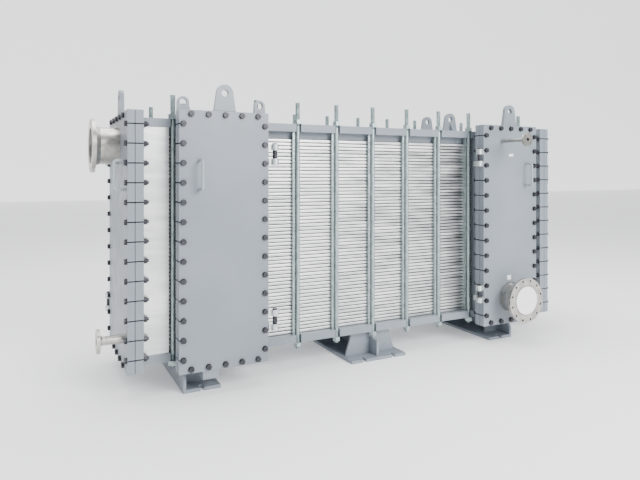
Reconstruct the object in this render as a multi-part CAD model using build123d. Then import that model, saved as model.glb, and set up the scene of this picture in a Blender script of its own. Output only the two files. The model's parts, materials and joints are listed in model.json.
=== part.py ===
from build123d import *
import math
import os

# Welded plate heat exchanger, laid on its long side, with a header at each end
# and two headers on each long side. The plate pack is a stack of flat channels.
# Every second channel runs from end header to end header, and the others are
# fed from the side headers. Frame plates above and below are pulled together
# by tie rods in open slots. The covers of the
# two front headers and of the two end headers are hinged doors.
#
# Millimetres. +X runs along the unit from the inlet end, +Z is up, and the
# front, with the two doors, faces -Y. The origin is the middle of the centre
# foot's floor face.

# Overall
UNIT_LENGTH = 3976.0        # between the outer faces of the end covers
UNIT_DEPTH = 1264.0         # between the outer faces of the side covers
COVER_HEIGHT = 1800.0       # every cover and every header flange
FLOOR_GAP = 175.0           # floor to the lower edge of the covers
SIDE_WIDTH = 647.0          # side covers, along the unit
END_WIDTH = 980.0           # end covers, across the unit
END_MARGIN = 314.5          # side cover's outer edge to the end cover's face

# Covers, flanges and gaskets
COVER_T = 48.0
SIDE_FLANGE_T = 55.0
END_FLANGE_T = 55.0
GASKET_T = 4.0
COVER_ROUND = 3.0           # rounded corners of covers and flanges

# Frame and plate pack
FRAME_T = 60.0              # top and bottom frame plates
FRAME_DEPTH = 880.0
LOW_SETBACK = 40.0          # cover's lower edge to the bottom frame plate
HIGH_SETBACK = 49.0         # top frame plate to the cover's upper edge
PACK_DEPTH = 770.0
PRESSURE_T = 54.0           # plate between the pack and the top frame plate
PRESSURE_RECESS = 25.0      # its edge behind the pack's, between the headers
CHANNEL_COUNT = 55
CHANNEL_WALL = 2.5
CHANNEL_EDGE = 14.0         # closed long edges of each channel
CHANNEL_ROUND = 8.0         # rounding of those edges
WALL_T = 20.0               # header box walls
BOX_LIP = 8.0               # side box's top and bottom walls
SIDE_BOX_INSET = 70.0       # side flange edge to the box's outer wall
END_BOX_LENGTH = 181.0      # end flange to the pack's end frame
END_BOX_INSET = 60.0        # end flange edge to the box's outer wall
WINDOW_MARGIN = 20.0        # box wall to the channel windows behind it

# Tie rods and ribs
ROD_R = 18.0
ROD_SETBACK = 26.0          # frame plate edge to the rod's axis
ROD_TO_BOX = 54.5           # side box's inner wall to the next rod's axis
OUTER_ROD_TO_BOX = 65.5     # its outer wall to the outermost rod's axis
ROD_SPACES = 6              # equal spaces between the two inner rods
ROD_ABOVE = 170.0
ROD_BELOW = 50.0
ROD_SLOT_GAP = 3.0          # rod to its slot
NUT_AF = 55.0               # across flats
NUT_H = 29.0
NUT_WASHER_R = 33.0
NUT_WASHER_T = 6.0
THREAD_GAP = 0.3            # between a thread and its nut or tapped hole
RIB_W = 18.0
RIB_DEPTH = 24.0
RIB_GAP = 3.0               # rib to the tie rod beside it

# Closing bolts, in holes with a slit to the covers' edges
BOLT_R = 12.0
BOLT_AF = 36.0
HEAD_H = 15.0
BOLT_NUT_H = 21.0
BOLT_TAIL = 12.0
WASHER_R = 21.0
WASHER_T = 4.0
BOLT_EDGE = 28.0            # bolt axis to the cover's edge
GASKET_GAP = 4.0            # bolt hole to the gasket
BOLT_GAP = 2.0              # bolt to its hole
SLIT_W = 9.0                # slit from the hole to the edge
PART_GAP = 0.5              # between the two halves of a door's bolt
COLUMN_COUNT = 13
COLUMN_END = 96.0          # cover's corner to the first bolt of a column
SIDE_ROW_COUNT = 5
SIDE_ROW_END = 81.5
END_ROW_COUNT = 5
END_ROW_END = 164.0

# Hinges of the four doors
HINGE_PAIR_FROM = 1         # bolt space, counted from each end of the column
HINGE_OUT = 50.0            # door edge to the hinge axis
PIN_R = 12.0
PIN_GAP = 0.08
KNUCKLE_R = 28.0
KNUCKLE_H = 45.0
KNUCKLE_SPLIT = 60.0        # between the door's and the frame's knuckle
COLLAR_R = 17.0             # the pin's collar, which carries the door's knuckle
COLLAR_GAP = 0.5
PIN_HEAD_R = 18.0
PIN_HEAD_H = 8.0
LEAF_H = 45.0
STRAP_T = 15.0
LEAF_T = 16.0
LEAF_GAP = 4.0              # frame leaf to the door's edge

# Lugs, handles and the rest under the left door
LUG_T = 30.0
LUG_HOLE_R = 25.0
COVER_LUG = (160.0, 60.0, 130.0)      # base width, eye radius, eye height
LIFT_LUG = (180.0, 62.0, 149.0)
LIFT_LUG_INSET = 716.0      # frame plate's end to the lug's middle
LIFT_GUSSET = (70.0, 120.0, 16.0)     # reach, height, thickness
EAR = (84.0, 40.0, 59.0)
EAR_HOLE_R = 24.0
EAR_EDGE = 43.0             # ear's middle to the flange's edge
HANDLE_R = 10.0
HANDLE_H = 200.0
HANDLE_OUT = 90.0
HANDLE_BEND = 25.0
HANDLE_DROP = 445.0         # cover's upper edge to the handle's middle
SIDE_HANDLE_U = 183.5       # door's middle to its handle
END_HANDLE_U = 414.0
REST_SIZE = (117.0, 92.0, 61.0)
REST_U = -98.0
REST_GAP = 2.0              # rest to the door's lower edge

# Nozzles: pipe radius, bore radius, flange radius, flange thickness,
# bolt circle radius, bolt hole radius, bolt count, hub radius, hub length
DN250 = (136.5, 130.2, 197.5, 26.0, 175.0, 11.0, 12, 148.0, 34.0)
DN50 = (30.15, 26.6, 82.5, 20.0, 62.5, 9.0, 4, 37.0, 16.0)
DN25 = (16.85, 13.6, 57.5, 18.0, 42.5, 7.0, 4, 23.0, 14.0)
MAIN_REACH = 190.0          # door's face to the flange's face
DRAIN_REACH = 185.0
VENT_REACH = 300.0
HIGH_DROP = 231.0           # cover's upper edge to the high nozzles
LOW_RISE = 238.0            # cover's lower edge to the low nozzles
DRAIN_RISE = 225.0
DRAIN_U = 371.0
VENT_DROP = 143.0
VENT_U = -103.0
DISC_R = 125.0
DISC_T = 3.0
TAG_T = 2.0
TAGS = [(-20.0, 415.0, 45.0, 40.0), (5.0, 1531.0, 50.0, 22.0)]   # x, rise, width, height

# Feet
FOOT_DEPTH = 1040.0
FOOT_BASE_T = 25.0
FOOT_WEB_T = 20.0
CENTRE_FOOT_W = 524.0
CENTRE_FOOT_TOP_W = 355.0
CENTRE_FOOT_LOW_W = 474.0
OUTER_FOOT_W = 270.0
LEFT_FOOT_INSET = 262.0     # frame plate's end to the left foot's outer face
RIGHT_FOOT_INSET = 411.0
GUSSET_TOP_W = 125.0
GUSSET_LOW_W = 150.0
GUSSET_GAP = 5.0            # cross webs to the rod washers in front of them
WEB_END_H = 90.0            # outer feet's end web, at its two ends
WEB_STEP_GAP = 15.0         # centre foot's web to the rod's end above it
NOTCH_W = 30.0
NOTCH_DEPTH = 60.0
CENTRE_NOTCH_X = 140.0

# Worked out from the sizes above
SLOT_W = 2 * (BOLT_R + BOLT_GAP)
GASKET_INSET = BOLT_EDGE + SLOT_W / 2 + GASKET_GAP
COVER_LOW = FLOOR_GAP
COVER_HIGH = FLOOR_GAP + COVER_HEIGHT
COVER_MID = (COVER_LOW + COVER_HIGH) / 2
HIGH_Z = COVER_HIGH - HIGH_DROP
LOW_Z = COVER_LOW + LOW_RISE
DRAIN_Z = COVER_LOW + DRAIN_RISE
VENT_Z = COVER_HIGH - VENT_DROP
HANDLE_Z = COVER_HIGH - HANDLE_DROP
SIDE_FACE = UNIT_DEPTH / 2
END_FACE = UNIT_LENGTH / 2
SIDE_X = END_FACE - END_MARGIN - SIDE_WIDTH / 2
FRAME_BASE = COVER_LOW + LOW_SETBACK
FRAME_TOP = COVER_HIGH - HIGH_SETBACK
INNER_LOW = FRAME_BASE + FRAME_T
INNER_HIGH = FRAME_TOP - FRAME_T
PACK_HIGH = INNER_HIGH - PRESSURE_T
CHANNEL_PITCH = (PACK_HIGH - INNER_LOW) / CHANNEL_COUNT
SIDE_FLANGE_BACK = SIDE_FACE - COVER_T - GASKET_T - SIDE_FLANGE_T
END_FLANGE_BACK = END_FACE - COVER_T - GASKET_T - END_FLANGE_T
PACK_HALF = END_FLANGE_BACK - END_BOX_LENGTH + WALL_T
SIDE_BOX_HALF = SIDE_WIDTH / 2 - SIDE_BOX_INSET
END_BOX_HALF = END_WIDTH / 2 - END_BOX_INSET
COLUMN_PITCH = (COVER_HEIGHT - 2 * COLUMN_END) / (COLUMN_COUNT - 1)
ROD_Y = FRAME_DEPTH / 2 - ROD_SETBACK
INNER_ROD_X = SIDE_X - SIDE_BOX_HALF - ROD_TO_BOX
OUTER_ROD_X = SIDE_X + SIDE_BOX_HALF + OUTER_ROD_TO_BOX
ROD_XS = [INNER_ROD_X * (2 * k / ROD_SPACES - 1) for k in range(ROD_SPACES + 1)]
ROD_XS += [-OUTER_ROD_X, OUTER_ROD_X]
ROD_SLOT_W = 2 * (ROD_R + ROD_SLOT_GAP)
GUSSET_Y = ROD_Y - NUT_WASHER_R - GUSSET_GAP - FOOT_WEB_T / 2

LEFT = Pos(-SIDE_X, 0, 0)
RIGHT = Pos(SIDE_X, 0, 0)
BACK_LEFT = LEFT * Rot(0, 0, 180)
BACK_RIGHT = RIGHT * Rot(0, 0, 180)
INLET_END = Rot(0, 0, -90)
FAR_END = Rot(0, 0, 90)

nodes = {}


# Each header is drawn facing -Y with its middle at x = 0, then put in place.
def outward(profile, start, end):
    """A profile in x and z, solid from y = -start out to y = -end."""
    return Pos(0, -start, 0) * extrude(Plane.XZ * profile, end - start)


def block(low, high):
    """A box between two corners."""
    size = [b - a for a, b in zip(low, high)]
    middle = [(a + b) / 2 for a, b in zip(low, high)]
    return Pos(*middle) * Box(*size)


def group(solids):
    """Several separate solids as one node."""
    return Compound(children=[s.solid() for s in solids])


def bolt_spots(width, row_count, row_end):
    """x, z and the outward direction of each closing bolt of a cover."""
    side = width / 2 - BOLT_EDGE
    low = COVER_LOW + BOLT_EDGE
    high = COVER_HIGH - BOLT_EDGE
    spots = []
    for k in range(COLUMN_COUNT):
        z = COVER_LOW + COLUMN_END + k * COLUMN_PITCH
        spots += [(-side, z, -1, 0), (side, z, 1, 0)]
    pitch = (width - 2 * row_end) / (row_count - 1)
    for k in range(row_count):
        x = (k - (row_count - 1) / 2) * pitch
        spots += [(x, low, 0, -1), (x, high, 0, 1)]
    return spots


SIDE_SPOTS = bolt_spots(SIDE_WIDTH, SIDE_ROW_COUNT, SIDE_ROW_END)
END_SPOTS = bolt_spots(END_WIDTH, END_ROW_COUNT, END_ROW_END)


def slotted_plate(width, spots):
    """A cover's outline with a bolt hole and a slit to the edge at each spot."""
    plate = RectangleRounded(width, COVER_HEIGHT, COVER_ROUND)
    plate = Pos(0, COVER_MID) * plate
    slots = []
    for x, z, dx, dz in spots:
        slots.append(Pos(x, z) * Circle(SLOT_W / 2))
        reach = BOLT_EDGE + SLOT_W
        size = (reach, SLIT_W) if dx else (SLIT_W, reach)
        slots.append(Pos(x + dx * reach / 2, z + dz * reach / 2) * Rectangle(*size))
    return plate - slots


def upright_window(half_width, low, high):
    """A rectangle in x and z, for a window or a box."""
    return Pos(0, (low + high) / 2) * Rectangle(2 * half_width, high - low)


def gasket(width, face, window):
    """The gasket between a cover and its flange, inside the bolts."""
    low = COVER_LOW + GASKET_INSET
    high = COVER_HIGH - GASKET_INSET
    outline = upright_window(width / 2 - GASKET_INSET, low, high)
    back = face - COVER_T - GASKET_T
    return outward(outline - window, back, back + GASKET_T)


SIDE_WINDOW = upright_window(SIDE_BOX_HALF - WALL_T, INNER_LOW + BOX_LIP, INNER_HIGH - BOX_LIP)
END_WINDOW = upright_window(END_BOX_HALF - WALL_T, INNER_LOW, INNER_HIGH)


def side_header():
    """A side header: the box from the pack out to its flange."""
    flange_face = SIDE_FLANGE_BACK + SIDE_FLANGE_T
    flange = slotted_plate(SIDE_WIDTH, SIDE_SPOTS) - SIDE_WINDOW
    box = upright_window(SIDE_BOX_HALF, INNER_LOW, INNER_HIGH) - SIDE_WINDOW
    header = outward(flange, SIDE_FLANGE_BACK, flange_face)
    return header + outward(box, PACK_DEPTH / 2, SIDE_FLANGE_BACK)


def end_header():
    """An end header: flange, two side walls and the frame round the pack."""
    columns = [spot for spot in END_SPOTS if spot[2]]
    rows = [spot for spot in END_SPOTS if spot[3]]
    tapped = [Pos(x, z) * Circle(BOLT_R + THREAD_GAP) for x, z, dx, dz in rows]
    flange = slotted_plate(END_WIDTH, columns) - END_WINDOW - tapped
    walls = upright_window(END_BOX_HALF, INNER_LOW, INNER_HIGH) - END_WINDOW
    pack = upright_window(PACK_DEPTH / 2, INNER_LOW, INNER_HIGH)
    frame = upright_window(END_BOX_HALF, INNER_LOW, INNER_HIGH) - pack
    start = PACK_HALF - WALL_T
    left = outward(frame, start, PACK_HALF) + outward(walls, PACK_HALF, END_FLANGE_BACK)
    return left + outward(flange, END_FLANGE_BACK, END_FLANGE_BACK + END_FLANGE_T)


def cover(width, face, spots, bores=()):
    """A cover plate, with a hole for each nozzle: x, z and radius."""
    outline = slotted_plate(width, spots)
    if bores:
        outline = outline - [Pos(x, z) * Circle(r) for x, z, r in bores]
    return outward(outline, face - COVER_T, face)


def front_half(face):
    """Hex head, washer and shank of a closing bolt, as far as the cover's back."""
    hexagon = RegularPolygon(BOLT_AF / 2, 6, major_radius=False)
    bolt = outward(Circle(BOLT_R), face - COVER_T, face)
    bolt += outward(Circle(WASHER_R), face, face + WASHER_T)
    return bolt + outward(hexagon, face + WASHER_T, face + WASHER_T + HEAD_H)


def tapped_half(face, flange_t):
    """The rest of a bolt that screws into the flange."""
    start = face - COVER_T
    return outward(Circle(BOLT_R), start - GASKET_T - flange_t, start - PART_GAP)


def rear_half(face, flange_t, gap=PART_GAP):
    """The rest of a closing bolt: shank, washer, nut and tail."""
    hexagon = RegularPolygon(BOLT_AF / 2, 6, major_radius=False)
    start = face - COVER_T - gap
    back = face - COVER_T - GASKET_T - flange_t
    nut = back - WASHER_T - BOLT_NUT_H
    stud = outward(Circle(BOLT_R), nut - BOLT_TAIL, start)
    stud += outward(Circle(WASHER_R), back - WASHER_T, back)
    return stud + outward(hexagon, nut, back - WASHER_T)


def at_spots(piece, spots):
    """A copy of the piece at every bolt spot."""
    return [Pos(x, 0, z) * piece for x, z, dx, dz in spots]


def lug_plate(shape, hole_r):
    """Outline of a lifting lug standing on z = 0: tapered, with a round eye."""
    base, radius, eye = shape
    taper = Polygon((-base / 2, 0), (base / 2, 0), (radius, eye), (-radius, eye), align=None)
    return taper + Pos(0, eye) * Circle(radius) - Pos(0, eye) * Circle(hole_r)


def cover_lug(face, x=0.0, shape=COVER_LUG, hole_r=LUG_HOLE_R):
    """A lug welded on the top edge of a cover."""
    middle = face - COVER_T / 2
    plate = outward(lug_plate(shape, hole_r), middle - LUG_T / 2, middle + LUG_T / 2)
    return Pos(x, 0, COVER_HIGH) * plate


def handle(x, face):
    """An upright round-bar handle on a cover's face."""
    top = HANDLE_Z + HANDLE_H / 2
    low = HANDLE_Z - HANDLE_H / 2
    out = -face - HANDLE_OUT + HANDLE_R
    path = FilletPolyline((x, -face, low), (x, out, low), (x, out, top), (x, -face, top), radius=HANDLE_BEND)
    start = Plane(origin=(x, -face, low), z_dir=(0, -1, 0))
    return sweep(start * Circle(HANDLE_R), path=path)


def nozzle(size, x, z, face, reach):
    """A flanged pipe through a cover, from its inner face."""
    pipe_r, bore_r, flange_r, flange_t, circle_r, hole_r, count, hub_r, hub_len = size
    tip = face + reach
    back = tip - flange_t
    body = outward(Circle(pipe_r), face - COVER_T, back)
    hub = Cone(pipe_r, hub_r, hub_len, align=(Align.CENTER, Align.CENTER, Align.MIN))
    body += Pos(0, -(back - hub_len), 0) * Rot(90, 0, 0) * hub
    body += outward(Circle(flange_r), back, tip)
    holes = PolarLocations(circle_r, count, start_angle=180 / count) * Circle(hole_r)
    body -= outward(Sketch() + holes, back, tip)
    body -= outward(Circle(bore_r), face - COVER_T, tip)
    return Pos(x, 0, z) * body


def hinge_heights():
    """Middle height of each hinge, half way between two column bolts."""
    low = COVER_LOW + COLUMN_END + (HINGE_PAIR_FROM + 0.5) * COLUMN_PITCH
    return [low, COVER_LOW + COVER_HIGH - low]


def knuckle(low):
    """A bored hinge knuckle standing on z = low at x = 0."""
    tube = Cylinder(KNUCKLE_R, KNUCKLE_H) - Cylinder(PIN_R + PIN_GAP, KNUCKLE_H)
    return Pos(0, 0, low + KNUCKLE_H / 2) * tube


def hinge_parts(side, width, face, flange_back):
    """Door straps, frame leaves and pins; side is +1 where the hinge is at +x."""
    edge = side * width / 2
    axis = edge + side * HINGE_OUT
    bore = Pos(axis, -face, COVER_MID) * Cylinder(PIN_R + PIN_GAP, COVER_HEIGHT)
    straps, leaves, pins = [], [], []
    for z in hinge_heights():
        upper = z + KNUCKLE_SPLIT / 2
        lower = z - KNUCKLE_SPLIT / 2
        xs = sorted([edge, axis])
        strap = block((xs[0], -face, upper), (xs[1], -face + STRAP_T, upper + LEAF_H))
        straps.append(strap + Pos(axis, -face, 0) * knuckle(upper) - bore)
        xs = sorted([edge + side * LEAF_GAP, edge + side * (LEAF_GAP + LEAF_T)])
        leaf = block((xs[0], -face, lower - LEAF_H), (xs[1], -flange_back, lower))
        xs = sorted([edge, edge + side * (LEAF_GAP + LEAF_T)])
        flange_face = face - COVER_T - GASKET_T
        leaf += block((xs[0], -flange_face, lower - LEAF_H), (xs[1], -flange_back, lower))
        xs = sorted([edge + side * LEAF_GAP, axis])
        leaf += block((xs[0], -face, lower - LEAF_H), (xs[1], -face + LEAF_T, lower))
        leaves.append(leaf + Pos(axis, -face, 0) * knuckle(lower - KNUCKLE_H) - bore)
        length = 2 * KNUCKLE_H + KNUCKLE_SPLIT
        head = Pos(0, 0, (length + PIN_HEAD_H) / 2) * Cylinder(PIN_HEAD_R, PIN_HEAD_H)
        collar = Cylinder(COLLAR_R, KNUCKLE_SPLIT - 2 * COLLAR_GAP)
        pin = Cylinder(PIN_R, length) + head + collar
        pins.append(Pos(axis, -face, z) * pin)
    return straps, leaves, pins


# Frame and plate pack
def frame_plate(low):
    """A frame plate with a slot open to the edge for each tie rod."""
    plate = Rectangle(2 * END_FLANGE_BACK, FRAME_DEPTH)
    slots = []
    for x in ROD_XS:
        for side in (-1, 1):
            slots.append(Pos(x, side * ROD_Y) * Circle(ROD_SLOT_W / 2))
            mouth = Rectangle(ROD_SLOT_W, 2 * ROD_SETBACK)
            slots.append(Pos(x, side * (ROD_Y + ROD_SETBACK)) * mouth)
    return Pos(0, 0, low) * extrude(plate - slots, FRAME_T)


def channel_shell():
    """Outer shape and inner space of one flat channel, across the unit."""
    shell = Rectangle(PACK_DEPTH, CHANNEL_PITCH)
    shell = fillet(shell.vertices(), CHANNEL_ROUND)
    space = Rectangle(PACK_DEPTH - 2 * CHANNEL_EDGE, CHANNEL_PITCH - 2 * CHANNEL_WALL)
    return shell, space


def lengthwise_channel():
    """A channel open at both ends of the unit."""
    shell, space = channel_shell()
    tube = extrude(Plane.YZ * (shell - space), PACK_HALF, both=True)
    return tube


def crossways_channel():
    """A channel closed at both ends, with windows into the side headers."""
    shell, space = channel_shell()
    body = extrude(Plane.YZ * shell, PACK_HALF, both=True)
    body -= extrude(Plane.YZ * space, PACK_HALF - CHANNEL_EDGE, both=True)
    half = SIDE_BOX_HALF - WALL_T - WINDOW_MARGIN
    height = CHANNEL_PITCH - 2 * CHANNEL_WALL
    for side in (-1, 1):
        body -= Pos(side * SIDE_X, 0, 0) * Box(2 * half, PACK_DEPTH, height)
    return body


def channel_stack(shape, first):
    """Every second channel of the pack, counted from first."""
    places = range(first, CHANNEL_COUNT, 2)
    return [Pos(0, 0, INNER_LOW + (k + 0.5) * CHANNEL_PITCH) * shape for k in places]


def rod_places():
    """x and y of every tie rod."""
    return [(x, side * ROD_Y) for side in (-1, 1) for x in ROD_XS]


def tie_rod():
    length = FRAME_TOP - FRAME_BASE + ROD_ABOVE + ROD_BELOW
    return Pos(0, 0, FRAME_BASE - ROD_BELOW + length / 2) * Cylinder(ROD_R, length)


def tie_nut():
    """A washer and nut standing on z = 0."""
    hexagon = RegularPolygon(NUT_AF / 2, 6, major_radius=False)
    nut = extrude(Circle(NUT_WASHER_R), NUT_WASHER_T)
    nut += Pos(0, 0, NUT_WASHER_T) * extrude(hexagon, NUT_H)
    return nut - Cylinder(ROD_R + THREAD_GAP, 4 * (NUT_H + NUT_WASHER_T))


def rib(x, side):
    """The upright comb bar on the pack's edge, beside a tie rod."""
    middle = x + side * (ROD_R + RIB_GAP + RIB_W / 2)
    near = PACK_DEPTH / 2
    ys = sorted([side * near, side * (near + RIB_DEPTH)])
    return block((middle - RIB_W / 2, ys[0], INNER_LOW), (middle + RIB_W / 2, ys[1], INNER_HIGH))


def pressure_plate():
    """The plate over the pack, set back between the side headers."""
    plate = block((-PACK_HALF, -PACK_DEPTH / 2, PACK_HIGH), (PACK_HALF, PACK_DEPTH / 2, INNER_HIGH))
    for side in (-1, 1):
        ys = sorted([side * (PACK_DEPTH / 2 - PRESSURE_RECESS), side * PACK_DEPTH])
        plate -= block((-INNER_ROD_X, ys[0], PACK_HIGH), (INNER_ROD_X, ys[1], INNER_HIGH))
    return plate


def foot_base(low_x, high_x, notch_xs):
    """A base plate with an anchor notch in its front and back edges."""
    plate = Pos((low_x + high_x) / 2, 0) * Rectangle(high_x - low_x, FOOT_DEPTH)
    notches = []
    for x in notch_xs:
        for side in (-1, 1):
            tip = side * (FOOT_DEPTH / 2 - NOTCH_DEPTH + NOTCH_W / 2)
            notches.append(Pos(x, tip) * Circle(NOTCH_W / 2))
            notches.append(Pos(x, tip + side * NOTCH_DEPTH) * Rectangle(NOTCH_W, 2 * NOTCH_DEPTH))
    return extrude(plate - notches, FOOT_BASE_T)


def cross_webs(points):
    """The same upright web near the front and the back of a foot."""
    y = GUSSET_Y
    web = Polygon(*points, align=None)
    front = outward(web, y - FOOT_WEB_T / 2, y + FOOT_WEB_T / 2)
    return [front, Pos(0, 2 * y, 0) * front]


def centre_foot():
    half = CENTRE_FOOT_W / 2
    foot = foot_base(-half, half, [-CENTRE_NOTCH_X, CENTRE_NOTCH_X])
    web = FOOT_WEB_T / 2
    depth = FOOT_DEPTH / 2 - FOOT_BASE_T
    foot += block((-web, -GUSSET_Y, FOOT_BASE_T), (web, GUSSET_Y, FRAME_BASE))
    foot += block((-web, -depth, FOOT_BASE_T), (web, depth, FRAME_BASE - ROD_BELOW - WEB_STEP_GAP))
    low, top = CENTRE_FOOT_LOW_W / 2, CENTRE_FOOT_TOP_W / 2
    points = [(-low, FOOT_BASE_T), (low, FOOT_BASE_T), (top, FRAME_BASE), (-top, FRAME_BASE)]
    return foot + cross_webs(points)


def outer_foot(side, outer):
    """An outer foot: base, end web and gussets; side is +1 at the far end."""
    xs = sorted([side * outer, side * (outer - OUTER_FOOT_W)])
    foot = foot_base(xs[0], xs[1], [sum(xs) / 2])
    depth, top = FOOT_DEPTH / 2, FRAME_DEPTH / 2
    points = [(-depth, FOOT_BASE_T), (depth, FOOT_BASE_T), (depth, WEB_END_H), (top, FRAME_BASE)]
    points += [(-top, FRAME_BASE), (-depth, WEB_END_H)]
    middle = side * (outer - FOOT_WEB_T / 2)
    web = extrude(Plane.YZ * Polygon(*points, align=None), FOOT_WEB_T / 2, both=True)
    foot += Pos(middle, 0, 0) * web
    inner = side * (outer - FOOT_WEB_T)
    low, top = inner - side * GUSSET_LOW_W, inner - side * GUSSET_TOP_W
    points = [(inner, FOOT_BASE_T), (low, FOOT_BASE_T), (top, FRAME_BASE), (inner, FRAME_BASE)]
    return foot + cross_webs(points)


def lifting_lug():
    """A main lifting lug with a triangular gusset on each face."""
    lug = outward(lug_plate(LIFT_LUG, LUG_HOLE_R), -LUG_T / 2, LUG_T / 2)
    reach, height, thick = LIFT_GUSSET
    near = LUG_T / 2
    side = Polygon((near, 0), (near + reach, 0), (near, height), align=None)
    gusset = extrude(Plane.YZ * side, thick / 2, both=True)
    cut = Pos(0, 0, LIFT_LUG[2]) * Rot(90, 0, 0) * Cylinder(LUG_HOLE_R, 4 * reach)
    lug = lug + gusset + Rot(0, 0, 180) * gusset
    return lug - cut


nodes["top_frame_plate"] = frame_plate(INNER_HIGH)
nodes["bottom_frame_plate"] = frame_plate(FRAME_BASE)
nodes["pressure_plate"] = pressure_plate()
nodes["lengthwise_channels"] = group(channel_stack(lengthwise_channel(), 0))
nodes["crossways_channels"] = group(channel_stack(crossways_channel(), 1))
inner_rods = ROD_XS[:ROD_SPACES + 1]
nodes["comb_bars"] = group([rib(x, side) for x in inner_rods for side in (-1, 1)])
nodes["tie_rods"] = group([Pos(x, y, 0) * tie_rod() for x, y in rod_places()])
top_nuts = [Pos(x, y, FRAME_TOP) * tie_nut() for x, y in rod_places()]
low_nuts = [Pos(x, y, FRAME_BASE) * Rot(180, 0, 0) * tie_nut() for x, y in rod_places()]
nodes["tie_nuts"] = group(top_nuts + low_nuts)
lug_x = END_FLANGE_BACK - LIFT_LUG_INSET
nodes["lifting_lugs"] = group([Pos(x, 0, FRAME_TOP) * lifting_lug() for x in (-lug_x, lug_x)])
nodes["centre_foot"] = centre_foot()
nodes["left_foot"] = outer_foot(-1, END_FLANGE_BACK - LEFT_FOOT_INSET)
nodes["right_foot"] = outer_foot(1, END_FLANGE_BACK - RIGHT_FOOT_INSET)

# End and front headers, with hinged doors. Each has its place, the side its
# hinges are on, its size and the nozzle bores in its door.
high_main = (0.0, HIGH_Z, DN250[0])
low_main = (0.0, LOW_Z, DN250[0])
drain_bore = (DRAIN_U, DRAIN_Z, DN50[0])
vent_bore = (VENT_U, VENT_Z, DN25[0])
doors = {
    "left": (LEFT, 1, "side", []),
    "right": (RIGHT, -1, "side", [low_main, vent_bore]),
    "inlet_end": (INLET_END, -1, "end", [high_main, drain_bore]),
    "far_end": (FAR_END, 1, "end", [low_main]),
}
leaves, pins, studs, gaskets = [], [], [], []
for name, (place, side, kind, bores) in doors.items():
    if kind == "side":
        width, face, spots, back = SIDE_WIDTH, SIDE_FACE, SIDE_SPOTS, SIDE_FLANGE_BACK
        nodes[name + "_header"] = place * side_header()
        gaskets.append(place * gasket(width, face, SIDE_WINDOW))
        rear = at_spots(rear_half(face, SIDE_FLANGE_T), spots)
        grip = SIDE_HANDLE_U
    else:
        width, face, spots, back = END_WIDTH, END_FACE, END_SPOTS, END_FLANGE_BACK
        nodes[name + "_header"] = place * end_header()
        gaskets.append(place * gasket(width, face, END_WINDOW))
        rear = at_spots(rear_half(face, END_FLANGE_T), [spot for spot in spots if spot[2]])
        rear += at_spots(tapped_half(face, END_FLANGE_T), [spot for spot in spots if spot[3]])
        grip = END_HANDLE_U
    door_straps, door_leaves, door_pins = hinge_parts(side, width, face, back)
    leaves += [place * leaf for leaf in door_leaves]
    pins += [place * pin for pin in door_pins]
    studs += [place * stud for stud in rear]
    nodes[name + "_door"] = place * cover(width, face, spots, bores)
    nodes[name + "_door_bolts"] = place * group(at_spots(front_half(face), spots))
    nodes[name + "_door_lug"] = place * cover_lug(face)
    nodes[name + "_door_handle"] = place * handle(-side * grip, face)
    nodes[name + "_door_straps"] = place * group(door_straps)
nodes["frame_leaves"] = group(leaves)
nodes["hinge_pins"] = group(pins)
nodes["flange_studs"] = group(studs)
nodes["door_gaskets"] = group(gaskets)
nodes["inlet_nozzle"] = INLET_END * nozzle(DN250, 0, HIGH_Z, END_FACE, MAIN_REACH)
nodes["end_drain_nozzle"] = INLET_END * nozzle(DN50, DRAIN_U, DRAIN_Z, END_FACE, DRAIN_REACH)
nodes["far_end_nozzle"] = FAR_END * nozzle(DN250, 0, LOW_Z, END_FACE, MAIN_REACH)
nodes["side_nozzle"] = RIGHT * nozzle(DN250, 0, LOW_Z, SIDE_FACE, MAIN_REACH)
nodes["vent_nozzle"] = RIGHT * nozzle(DN25, VENT_U, VENT_Z, SIDE_FACE, VENT_REACH)
main_tip = SIDE_FACE + MAIN_REACH
nodes["nozzle_disc"] = RIGHT * Pos(0, 0, LOW_Z) * outward(Circle(DISC_R), main_tip, main_tip + DISC_T)
tags = [Pos(x, COVER_LOW + rise) * Rectangle(width, height) for x, rise, width, height in TAGS]
nodes["tag_plates"] = group([RIGHT * outward(tag, SIDE_FACE, SIDE_FACE + TAG_T) for tag in tags])

# Ears on the left flange, and the rest under the left door
ear_face = SIDE_FLANGE_BACK + (SIDE_FLANGE_T + COVER_T) / 2
ear_x = SIDE_WIDTH / 2 - EAR_EDGE
nodes["flange_ears"] = group([LEFT * cover_lug(ear_face, x, EAR, EAR_HOLE_R) for x in (-ear_x, ear_x)])
rest_back = SIDE_FLANGE_BACK
rest_low = (REST_U - REST_SIZE[0] / 2, -rest_back - REST_SIZE[1], COVER_LOW - REST_GAP - REST_SIZE[2])
rest_high = (REST_U + REST_SIZE[0] / 2, -rest_back, COVER_LOW - REST_GAP)
rest = block(rest_low, rest_high)
rest_foot = (REST_U + REST_SIZE[0] / 2, -rest_back, COVER_LOW)
rest += block((rest_low[0], -rest_back - SIDE_FLANGE_T, rest_high[2]), rest_foot)
nodes["left_door_rest"] = LEFT * rest

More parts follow.
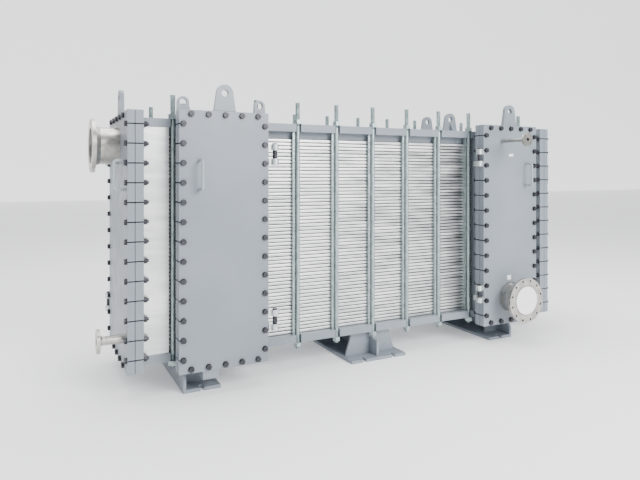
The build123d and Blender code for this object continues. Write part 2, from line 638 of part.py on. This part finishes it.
# Back headers, with plain bolted covers
nodes["back_left_header"] = BACK_LEFT * side_header()
nodes["back_right_header"] = BACK_RIGHT * side_header()
nodes["back_left_cover"] = BACK_LEFT * cover(SIDE_WIDTH, SIDE_FACE, SIDE_SPOTS, [high_main])
nodes["back_right_cover"] = BACK_RIGHT * cover(SIDE_WIDTH, SIDE_FACE, SIDE_SPOTS)
back_gasket = gasket(SIDE_WIDTH, SIDE_FACE, SIDE_WINDOW)
nodes["back_gaskets"] = group([BACK_LEFT * back_gasket, BACK_RIGHT * back_gasket])
back_bolt = front_half(SIDE_FACE) + rear_half(SIDE_FACE, SIDE_FLANGE_T, 0.0)
back_spots = at_spots(back_bolt, SIDE_SPOTS)
nodes["back_bolts"] = group([place * b for place in (BACK_LEFT, BACK_RIGHT) for b in back_spots])
back_lug = cover_lug(SIDE_FACE)
nodes["back_lugs"] = group([BACK_LEFT * back_lug, BACK_RIGHT * back_lug])
nodes["back_nozzle"] = BACK_LEFT * nozzle(DN250, 0, HIGH_Z, SIDE_FACE, MAIN_REACH)

os.makedirs("parts", exist_ok=True)
for name, shape in nodes.items():
    export_step(shape, os.path.join("parts", name + ".step"))
print(len(nodes), "nodes")
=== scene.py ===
# %% [markdown]
# # A welded plate heat exchanger
# This lesson dresses a finished CAD model. The CAD pieces keep their shape, and
# every one gets a finish. Small work that CAD leaves out, such as threads and
# weld beads, is added here. All lengths are metres.

# %% Load the CAD model
import json
import math
import bmesh
import bpy
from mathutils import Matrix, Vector

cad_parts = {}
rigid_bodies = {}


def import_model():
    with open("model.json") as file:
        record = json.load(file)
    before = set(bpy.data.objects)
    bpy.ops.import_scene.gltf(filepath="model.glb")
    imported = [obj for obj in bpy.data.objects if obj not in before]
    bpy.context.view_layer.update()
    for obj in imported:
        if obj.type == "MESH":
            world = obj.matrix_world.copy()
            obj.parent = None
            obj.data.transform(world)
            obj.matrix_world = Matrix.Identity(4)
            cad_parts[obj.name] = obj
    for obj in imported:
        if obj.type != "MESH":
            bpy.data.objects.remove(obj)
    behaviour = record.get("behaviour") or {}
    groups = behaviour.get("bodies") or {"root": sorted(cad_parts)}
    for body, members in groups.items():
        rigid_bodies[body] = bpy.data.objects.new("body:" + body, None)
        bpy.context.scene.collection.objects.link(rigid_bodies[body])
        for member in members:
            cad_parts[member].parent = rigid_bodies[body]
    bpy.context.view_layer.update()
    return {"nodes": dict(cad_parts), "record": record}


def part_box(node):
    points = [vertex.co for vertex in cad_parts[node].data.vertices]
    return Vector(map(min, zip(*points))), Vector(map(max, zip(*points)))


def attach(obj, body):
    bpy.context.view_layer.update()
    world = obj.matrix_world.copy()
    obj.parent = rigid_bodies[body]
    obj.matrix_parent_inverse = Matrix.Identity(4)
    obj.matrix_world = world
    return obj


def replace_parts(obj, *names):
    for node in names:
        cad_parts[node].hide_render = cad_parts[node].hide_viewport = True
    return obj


for thing in list(bpy.data.objects):
    bpy.data.objects.remove(thing)
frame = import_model()
print("pieces", len(frame["nodes"]))


def new_object(name, data):
    """An object for this data, linked into the scene."""
    thing = bpy.data.objects.new(name, data)
    bpy.context.scene.collection.objects.link(thing)
    return thing


# %% [markdown]
# ## Camera
# A level camera keeps upright edges upright. The picture is framed by shifting
# the lens down, as an architect's camera does, and not by tilting it.

# %% Camera
lens = bpy.data.cameras.new("standing_eye")
lens.lens = 32.09
lens.shift_y = -0.1047
camera = new_object("standing_eye", lens)
camera.location = (-2.5695, -4.5, 1.543)
camera.rotation_euler = (math.radians(90), 0, math.radians(-26.9))
bpy.context.scene.camera = camera

# %% [markdown]
# ## Finishes
# Each finish is one Principled shader with noise patterns on Object
# coordinates, so it stays put when a door swings. What is the same all over,
# such as Metallic, is set on the shader itself.

# %% Helpers for finishes
def start_finish(name, metallic):
    """A new material with its shader and the object's coordinates."""
    material = bpy.data.materials.new(name)
    material.use_nodes = True
    tree = material.node_tree
    shader = tree.nodes["Principled BSDF"]
    shader.inputs["Metallic"].default_value = metallic
    coords = tree.nodes.new("ShaderNodeTexCoord").outputs["Object"]
    return material, tree, shader, coords


def noise(tree, coords, scale, stretch=(1, 1, 1), detail=4):
    """A noise pattern, stretched along any axis that has a small factor."""
    mapping = tree.nodes.new("ShaderNodeMapping")
    mapping.inputs["Scale"].default_value = stretch
    pattern = tree.nodes.new("ShaderNodeTexNoise")
    pattern.inputs["Scale"].default_value = scale
    pattern.inputs["Detail"].default_value = detail
    tree.links.new(coords, mapping.inputs["Vector"])
    tree.links.new(mapping.outputs["Vector"], pattern.inputs["Vector"])
    return pattern.outputs[0]


def tones(tree, value, dark, light, low=0.35, high=0.65):
    """A colour ramp from dark to light over the pattern's middle values."""
    ramp = tree.nodes.new("ShaderNodeValToRGB")
    ramp.color_ramp.elements[0].position = low
    ramp.color_ramp.elements[0].color = (*dark, 1)
    ramp.color_ramp.elements[1].position = high
    ramp.color_ramp.elements[1].color = (*light, 1)
    tree.links.new(value, ramp.inputs["Fac"])
    return ramp.outputs["Color"]


def spread(tree, value, low, high):
    """The pattern turned into a roughness between low and high."""
    scale = tree.nodes.new("ShaderNodeMapRange")
    scale.inputs["From Min"].default_value = 0.3
    scale.inputs["From Max"].default_value = 0.7
    scale.inputs["To Min"].default_value = low
    scale.inputs["To Max"].default_value = high
    tree.links.new(value, scale.inputs["Value"])
    return scale.outputs["Result"]


def relief(tree, shader, value, depth, strength):
    """A fine bump on the shader."""
    bump = tree.nodes.new("ShaderNodeBump")
    bump.inputs["Distance"].default_value = depth
    bump.inputs["Strength"].default_value = strength
    tree.links.new(value, bump.inputs["Height"])
    tree.links.new(bump.outputs["Normal"], shader.inputs["Normal"])


# %% [markdown]
# Paint is sprayed on: nearly even, with slow changes in tone, a slightly
# uneven sheen and an orange-peel skin. Bare metal shows more grain.

# %% Make the finishes
def sprayed_paint(name, dark, light):
    material, tree, shader, coords = start_finish(name, 0.0)
    slow = noise(tree, coords, 1.3, detail=6)
    tree.links.new(tones(tree, slow, dark, light), shader.inputs["Base Color"])
    sheen = spread(tree, noise(tree, coords, 7), 0.34, 0.5)
    tree.links.new(sheen, shader.inputs["Roughness"])
    relief(tree, shader, noise(tree, coords, 260, detail=2), 0.0006, 0.25)
    return material


def bare_metal(name, dark, light, scale, stretch, rough, depth):
    material, tree, shader, coords = start_finish(name, 1.0)
    grain = noise(tree, coords, scale, stretch)
    tree.links.new(tones(tree, grain, dark, light), shader.inputs["Base Color"])
    sheen = spread(tree, noise(tree, coords, scale * 0.4, stretch), *rough)
    tree.links.new(sheen, shader.inputs["Roughness"])
    relief(tree, shader, grain, depth, 0.3)
    return material


def dull_solid(name, dark, light, scale, rough):
    material, tree, shader, coords = start_finish(name, 0.0)
    grain = noise(tree, coords, scale)
    tree.links.new(tones(tree, grain, dark, light), shader.inputs["Base Color"])
    tree.links.new(spread(tree, grain, *rough), shader.inputs["Roughness"])
    relief(tree, shader, noise(tree, coords, scale * 6), 0.0004, 0.3)
    return material


EVEN = (1, 1, 1)
ROLLED = (0.5, 5, 5)    # grain drawn out along the unit
finishes = {
    "paint": sprayed_paint("grey_paint", (0.185, 0.212, 0.245), (0.225, 0.253, 0.288)),
    "handle_steel": sprayed_paint("handle_paint", (0.26, 0.30, 0.33), (0.31, 0.35, 0.38)),
    "galvanised": bare_metal(
        "galvanised_steel", (0.29, 0.355, 0.355), (0.45, 0.52, 0.52),
        45, (1, 1, 0.6), (0.38, 0.6), 0.0004),
    "stainless": bare_metal(
        "stainless_sheet", (0.64, 0.65, 0.65), (0.80, 0.80, 0.79),
        5, ROLLED, (0.24, 0.42), 0.0004),
    "nozzle_steel": bare_metal(
        "turned_stainless", (0.36, 0.35, 0.32), (0.50, 0.485, 0.455),
        25, EVEN, (0.25, 0.42), 0.0003),
    "hinge_steel": bare_metal(
        "hinge_zinc", (0.50, 0.54, 0.55), (0.68, 0.72, 0.72),
        70, EVEN, (0.35, 0.5), 0.0003),
    "dark_bolt": bare_metal(
        "oiled_bolt", (0.035, 0.035, 0.04), (0.08, 0.08, 0.09),
        120, EVEN, (0.35, 0.55), 0.0003),
    "gasket": dull_solid("black_gasket", (0.015, 0.015, 0.015), (0.03, 0.03, 0.03), 50, (0.7, 0.9)),
    "disc": dull_solid("white_disc", (0.82, 0.82, 0.82), (0.90, 0.90, 0.90), 12, (0.4, 0.55)),
    "tag": dull_solid("blank_tag", (0.84, 0.85, 0.86), (0.92, 0.92, 0.93), 30, (0.4, 0.5)),
}
slot_of = {part["node"]: part["material_slot"] for part in frame["record"]["subparts"]}
for name, piece in frame["nodes"].items():
    piece.data.materials.clear()
    piece.data.materials.append(finishes[slot_of[name]])
print("finishes", len(finishes))

# %% [markdown]
# Each channel of the pack is a flat sheet box with rounded edges, welded to the
# next one in the groove between them. The pack has a finish of its own with
# painted shade in the grooves between channels: the height, divided by the pitch,
# gives how far a point is from the nearest groove.

# %% Channels with painted shade in the grooves
def grooved_sheet(pitch, first_groove):
    """Stainless sheet with painted shade, darkening towards each groove between channels."""
    material, tree, shader, coords = start_finish("channel_sheet", 1.0)
    maths = []
    for operation, value in (("SUBTRACT", first_groove), ("DIVIDE", pitch), ("PINGPONG", 0.5)):
        step = tree.nodes.new("ShaderNodeMath")
        step.operation = operation
        step.inputs[1].default_value = value
        maths.append(step)
    axes = tree.nodes.new("ShaderNodeSeparateXYZ")
    tree.links.new(coords, axes.inputs[0])
    tree.links.new(axes.outputs["Z"], maths[0].inputs[0])
    tree.links.new(maths[0].outputs[0], maths[1].inputs[0])
    tree.links.new(maths[1].outputs[0], maths[2].inputs[0])
    # painted shade: the sheet's colour darkens near each groove between channels
    groove_painted_shade = tones(tree, maths[2].outputs[0], (0.08, 0.08, 0.085), (1, 1, 1), 0.07, 0.22)
    grain = noise(tree, coords, 9, (0.4, 1, 3))
    sheet = tones(tree, grain, (0.50, 0.51, 0.51), (0.84, 0.84, 0.83))
    mix = tree.nodes.new("ShaderNodeMix")
    mix.data_type = "RGBA"
    mix.blend_type = "MULTIPLY"
    mix.inputs[0].default_value = 1.0
    tree.links.new(sheet, mix.inputs[6])
    tree.links.new(groove_painted_shade, mix.inputs[7])
    tree.links.new(mix.outputs[2], shader.inputs["Base Color"])
    tree.links.new(spread(tree, grain, 0.28, 0.46), shader.inputs["Roughness"])
    relief(tree, shader, noise(tree, coords, 60), 0.0004, 0.3)
    return material


pack_low, pack_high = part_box("lengthwise_channels")
channel_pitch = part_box("crossways_channels")[0].z - pack_low.z
channel_sheet = grooved_sheet(channel_pitch, pack_low.z)
for name in ("lengthwise_channels", "crossways_channels"):
    frame["nodes"][name].data.materials[0] = channel_sheet
print("channel pitch", round(channel_pitch, 4))

# %% [markdown]
# The end headers and the walls behind the flanges are bare stainless sheet,
# while their flanges are painted. One CAD piece can hold both: each face takes
# the paint or the sheet by how far out it is.

# %% Two finishes on the header boxes
FLANGE_T = 0.055
ROUNDING = 0.0005       # allowed when a face is compared with the flange's back


def outer_reach(name):
    """How far out along the unit an end piece goes, on either end."""
    low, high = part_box(name)
    return max(abs(low.x), abs(high.x))


def two_finishes(name, axis, flange_back):
    """Faces outside the flange's back stay painted, the rest are stainless."""
    mesh = frame["nodes"][name].data
    mesh.materials.append(finishes["stainless"])
    for face in mesh.polygons:
        reach = max(abs(mesh.vertices[i].co[axis]) for i in face.vertices)
        behind = reach <= flange_back + ROUNDING
        sideways = abs(face.normal[axis]) < 0.5
        face.material_index = 1 if behind and sideways else 0


for name in ("inlet_end_header", "far_end_header"):
    two_finishes(name, 0, outer_reach(name) - FLANGE_T)

# %% [markdown]
# ## Copies along a line
# Weld beads repeat at an even pitch. A Geometry Nodes tree turns edges into
# curves, places a bead at each step, realises the copies and sets a material.

# %% The bead tree
def start_tree(name, inputs, output):
    """A tree with its sockets, and the steps that end both trees."""
    tree = bpy.data.node_groups.new(name, "GeometryNodeTree")
    for label, kind in inputs:
        tree.interface.new_socket(label, in_out="INPUT", socket_type="NodeSocket" + kind)
    tree.interface.new_socket(output, in_out="OUTPUT", socket_type="NodeSocketGeometry")
    add, link = tree.nodes.new, tree.links.new
    given, result = add("NodeGroupInput"), add("NodeGroupOutput")
    place, real = add("GeometryNodeInstanceOnPoints"), add("GeometryNodeRealizeInstances")
    paint = add("GeometryNodeSetMaterial")
    link(place.outputs["Instances"], real.inputs["Geometry"])
    link(real.outputs["Geometry"], paint.inputs["Geometry"])
    link(given.outputs["Finish"], paint.inputs["Material"])
    link(paint.outputs["Geometry"], result.inputs[output])
    return tree, given, place


def bead_tree():
    """Edges in, a row of beads out, with a named pitch, size and finish."""
    inputs = [
        ("Edges", "Geometry"), ("Pitch", "Float"), ("Radius", "Float"), ("Finish", "Material")]
    tree, given, place = start_tree("beads_along_edges", inputs, "Beads")
    add, link = tree.nodes.new, tree.links.new
    curve, steps = add("GeometryNodeMeshToCurve"), add("GeometryNodeResampleCurve")
    bead = add("GeometryNodeMeshIcoSphere")
    steps.mode = "LENGTH"
    bead.inputs["Subdivisions"].default_value = 2
    link(given.outputs["Edges"], curve.inputs["Mesh"])
    link(curve.outputs["Curve"], steps.inputs["Curve"])
    link(given.outputs["Pitch"], steps.inputs["Length"])
    link(given.outputs["Radius"], bead.inputs["Radius"])
    link(steps.outputs["Curve"], place.inputs["Points"])
    link(bead.outputs["Mesh"], place.inputs["Instance"])
    return tree


BEADS = bead_tree()


def baked(name, source, tree, values):
    """Runs a node tree on an object and keeps the result as a plain mesh."""
    modifier = source.modifiers.new("repeat", "NODES")
    modifier.node_group = tree
    for item in tree.interface.items_tree:
        if item.in_out == "INPUT" and item.name in values:
            modifier[item.identifier] = values[item.name]
    graph = bpy.context.evaluated_depsgraph_get()
    mesh = bpy.data.meshes.new_from_object(source.evaluated_get(graph))
    bpy.data.objects.remove(source)
    return new_object(name, mesh)


def weld(name, lines, pitch, radius, slot_name, body):
    """A row of beads on each line, riding on one body."""
    points = [point for line in lines for point in line]
    edges = [(2 * k, 2 * k + 1) for k in range(len(lines))]
    mesh = bpy.data.meshes.new(name)
    mesh.from_pydata(points, edges, [])
    source = new_object(name, mesh)
    values = {"Pitch": pitch, "Radius": radius, "Finish": finishes[slot_name]}
    piece = baked(name, source, BEADS, values)
    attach(piece, body)
    print(name, "faces", len(piece.data.polygons))


# %% [markdown]
# ## Welds
# A row of beads runs up the front face of each comb bar, one bead to a pitch.
# The end boxes have a seam down each side, where the wall meets the flange.
# The lugs have a row along each long edge of their base.

# %% Where the welds are
ROD_RADIUS = 0.018
STATIONS = 7            # rods along each side, not counting the two at the ends
BAR_OFFSET = 0.030      # from a rod's axis to the middle of its comb bar
BAR_HALF_WIDTH = 0.009
BAR_REACH = 0.0235      # from the side of the pack to the middle of a bead
BEAD_RADIUS = 0.006
rod_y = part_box("tie_rods")[1].y - ROD_RADIUS
half_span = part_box("comb_bars")[1].x - BAR_OFFSET - BAR_HALF_WIDTH
rod_pitch = 2 * half_span / (STATIONS - 1)
station_xs = [(k - (STATIONS - 1) / 2) * rod_pitch for k in range(STATIONS)]
bead_low, bead_high = pack_low.z + channel_pitch / 2, pack_high.z - channel_pitch / 2
tacks = []
for side in (-1, 1):
    for middle in station_xs:
        x, y = middle + side * BAR_OFFSET, side * (pack_high.y + BAR_REACH)
        tacks.append(((x, y, bead_low), (x, y, bead_high)))
weld("comb_bar_tacks", tacks, channel_pitch, BEAD_RADIUS, "galvanised", "frame_body")

SEAM_Y = 0.430          # the outer face of the box walls
SEAM_LOW = 0.29
SEAM_HIGH = 1.85
SEAM_BACK = 0.002       # from the flange's back to the middle of a bead
SEAM_PITCH = 0.007
seams = []
for name, side in (("inlet_end_header", -1), ("far_end_header", 1)):
    flange_back = side * (outer_reach(name) - FLANGE_T)
    x = flange_back - side * SEAM_BACK
    for y in (-SEAM_Y, SEAM_Y):
        seams.append(((x, y, SEAM_LOW), (x, y, SEAM_HIGH)))
weld("end_box_seams", seams, SEAM_PITCH, BEAD_RADIUS, "stainless", "frame_body")

# %% Lug welds
def lug_seams(name):
    """The two long edges of a lug's foot."""
    low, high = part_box(name)
    if high.x - low.x > high.y - low.y:
        return [((low.x, y, low.z), (high.x, y, low.z)) for y in (low.y, high.y)]
    return [((x, low.y, low.z), (x, high.y, low.z)) for x in (low.x, high.x)]


LUG_PITCH = 0.006
LUG_BEAD = 0.005
for door in ("left", "right", "inlet_end", "far_end"):
    lines = lug_seams(door + "_door_lug")
    weld(door + "_lug_weld", lines, LUG_PITCH, LUG_BEAD, "paint", door + "_door_body")

# %% [markdown]
# ## Threaded tie rods
# The real rods are threaded at both ends. One rod is a profile turned round
# its axis, with a crest and a root for each thread, and a second tree copies
# it to every station. It stands in for the plain CAD rods.

# %% Turn one rod
rod_low, rod_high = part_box("tie_rods")
CREST = ROD_RADIUS
ROOT = 0.0162
THREAD = 0.004
TURNS_TOP = 46
TURNS_LOW = 24
SEGMENTS = 20
profile = [(0.0, rod_low.z), (ROOT, rod_low.z)]
for k in range(TURNS_LOW):
    profile.append((CREST, rod_low.z + (k + 0.5) * THREAD))
    profile.append((ROOT, rod_low.z + (k + 1) * THREAD))
profile.append((CREST, rod_low.z + (TURNS_LOW + 0.5) * THREAD))
profile.append((CREST, rod_high.z - (TURNS_TOP + 0.5) * THREAD))
for k in reversed(range(TURNS_TOP)):
    profile.append((ROOT, rod_high.z - (k + 1) * THREAD))
    profile.append((CREST, rod_high.z - (k + 0.5) * THREAD))
profile += [(ROOT, rod_high.z), (0.0, rod_high.z)]
shape = bmesh.new()
rings = []
for radius, z in profile:
    if radius == 0.0:
        rings.append([shape.verts.new((0, 0, z))])
    else:
        angles = [2 * math.pi * k / SEGMENTS for k in range(SEGMENTS)]
        points = [(radius * math.cos(a), radius * math.sin(a), z) for a in angles]
        rings.append([shape.verts.new(point) for point in points])
for lower, upper in zip(rings, rings[1:]):
    for k in range(SEGMENTS):
        n = (k + 1) % SEGMENTS
        if len(lower) == 1:
            shape.faces.new((lower[0], upper[n], upper[k]))
        elif len(upper) == 1:
            shape.faces.new((lower[k], lower[n], upper[0]))
        else:
            shape.faces.new((lower[k], lower[n], upper[n], upper[k]))
rod_mesh = bpy.data.meshes.new("one_rod")
shape.to_mesh(rod_mesh)
shape.free()
one_rod = new_object("one_rod", rod_mesh)

# %% Copy it to the stations
def copy_tree():
    """Points in, a copy of one object at each point out."""
    inputs = [("Points", "Geometry"), ("Copied", "Object"), ("Finish", "Material")]
    tree, given, place = start_tree("copies_at_points", inputs, "Copies")
    model = tree.nodes.new("GeometryNodeObjectInfo")
    tree.links.new(given.outputs["Points"], place.inputs["Points"])
    tree.links.new(given.outputs["Copied"], model.inputs["Object"])
    tree.links.new(model.outputs["Geometry"], place.inputs["Instance"])
    return tree


rod_xs = station_xs + [rod_low.x + CREST, rod_high.x - CREST]
spots = bpy.data.meshes.new("rod_spots")
spots.from_pydata([(x, side * rod_y, 0) for x in rod_xs for side in (-1, 1)], [], [])
source = new_object("rod_spots", spots)
values = {"Copied": one_rod, "Finish": finishes["galvanised"]}
rods = baked("threaded_rods", source, copy_tree(), values)
bpy.data.objects.remove(one_rod)
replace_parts(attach(rods, "frame_body"), "tie_rods")
print("rods", len(rod_xs) * 2, "faces", len(rods.data.polygons))

# %% [markdown]
# ## Studio
# A pale floor and backdrop, with two wide soft lights. The front light is the
# stronger one.

# %% Floor, backdrop and lights
def stage_sheet(name, corners, tone, glow):
    """A flat pale stage surface that glows, so that its tone stays even."""
    mesh = bpy.data.meshes.new(name)
    mesh.from_pydata(corners, [], [(0, 1, 2, 3)])
    sheet = new_object(name, mesh)
    material = bpy.data.materials.new(name)
    material.use_nodes = True
    shader = material.node_tree.nodes["Principled BSDF"]
    shader.inputs["Base Color"].default_value = (tone, tone, tone, 1)
    shader.inputs["Roughness"].default_value = 0.9
    shader.inputs["Emission Color"].default_value = (1, 1, 1, 1)
    shader.inputs["Emission Strength"].default_value = glow
    mesh.materials.append(material)


HALF = 60       # half of the floor's width
FAR = 30        # the backdrop's distance behind the unit
TALL = 40
PALE = 0.93
floor = [(-HALF, -HALF, 0), (HALF, -HALF, 0), (HALF, HALF, 0), (-HALF, HALF, 0)]
backdrop = [(-HALF, FAR, 0), (HALF, FAR, 0), (HALF, FAR, TALL), (-HALF, FAR, TALL)]
stage_sheet("floor", floor, PALE, 0.25)
stage_sheet("backdrop", backdrop, PALE, 0.9)


def soft_light(name, place, aim, size, power):
    """A wide area light pointed at a spot."""
    lamp = bpy.data.lights.new(name, "AREA")
    lamp.size = size
    lamp.energy = power
    light = new_object(name, lamp)
    light.location = place
    direction = Vector(aim) - Vector(place)
    light.rotation_euler = direction.to_track_quat("-Z", "Y").to_euler()
    light.visible_camera = False


soft_light("front_light", (2.5, -9.0, 5.5), (0, 0, 1), 5.0, 1500)
soft_light("top_light", (-1.0, 1.0, 8.0), (0, 0, 1), 6.0, 700)
world = bpy.data.worlds.new("studio")
bpy.context.scene.world = world
world.use_nodes = True
sky = world.node_tree.nodes["Background"]
sky.inputs["Color"].default_value = (0.95, 0.97, 1.0, 1)
sky.inputs["Strength"].default_value = 0.9
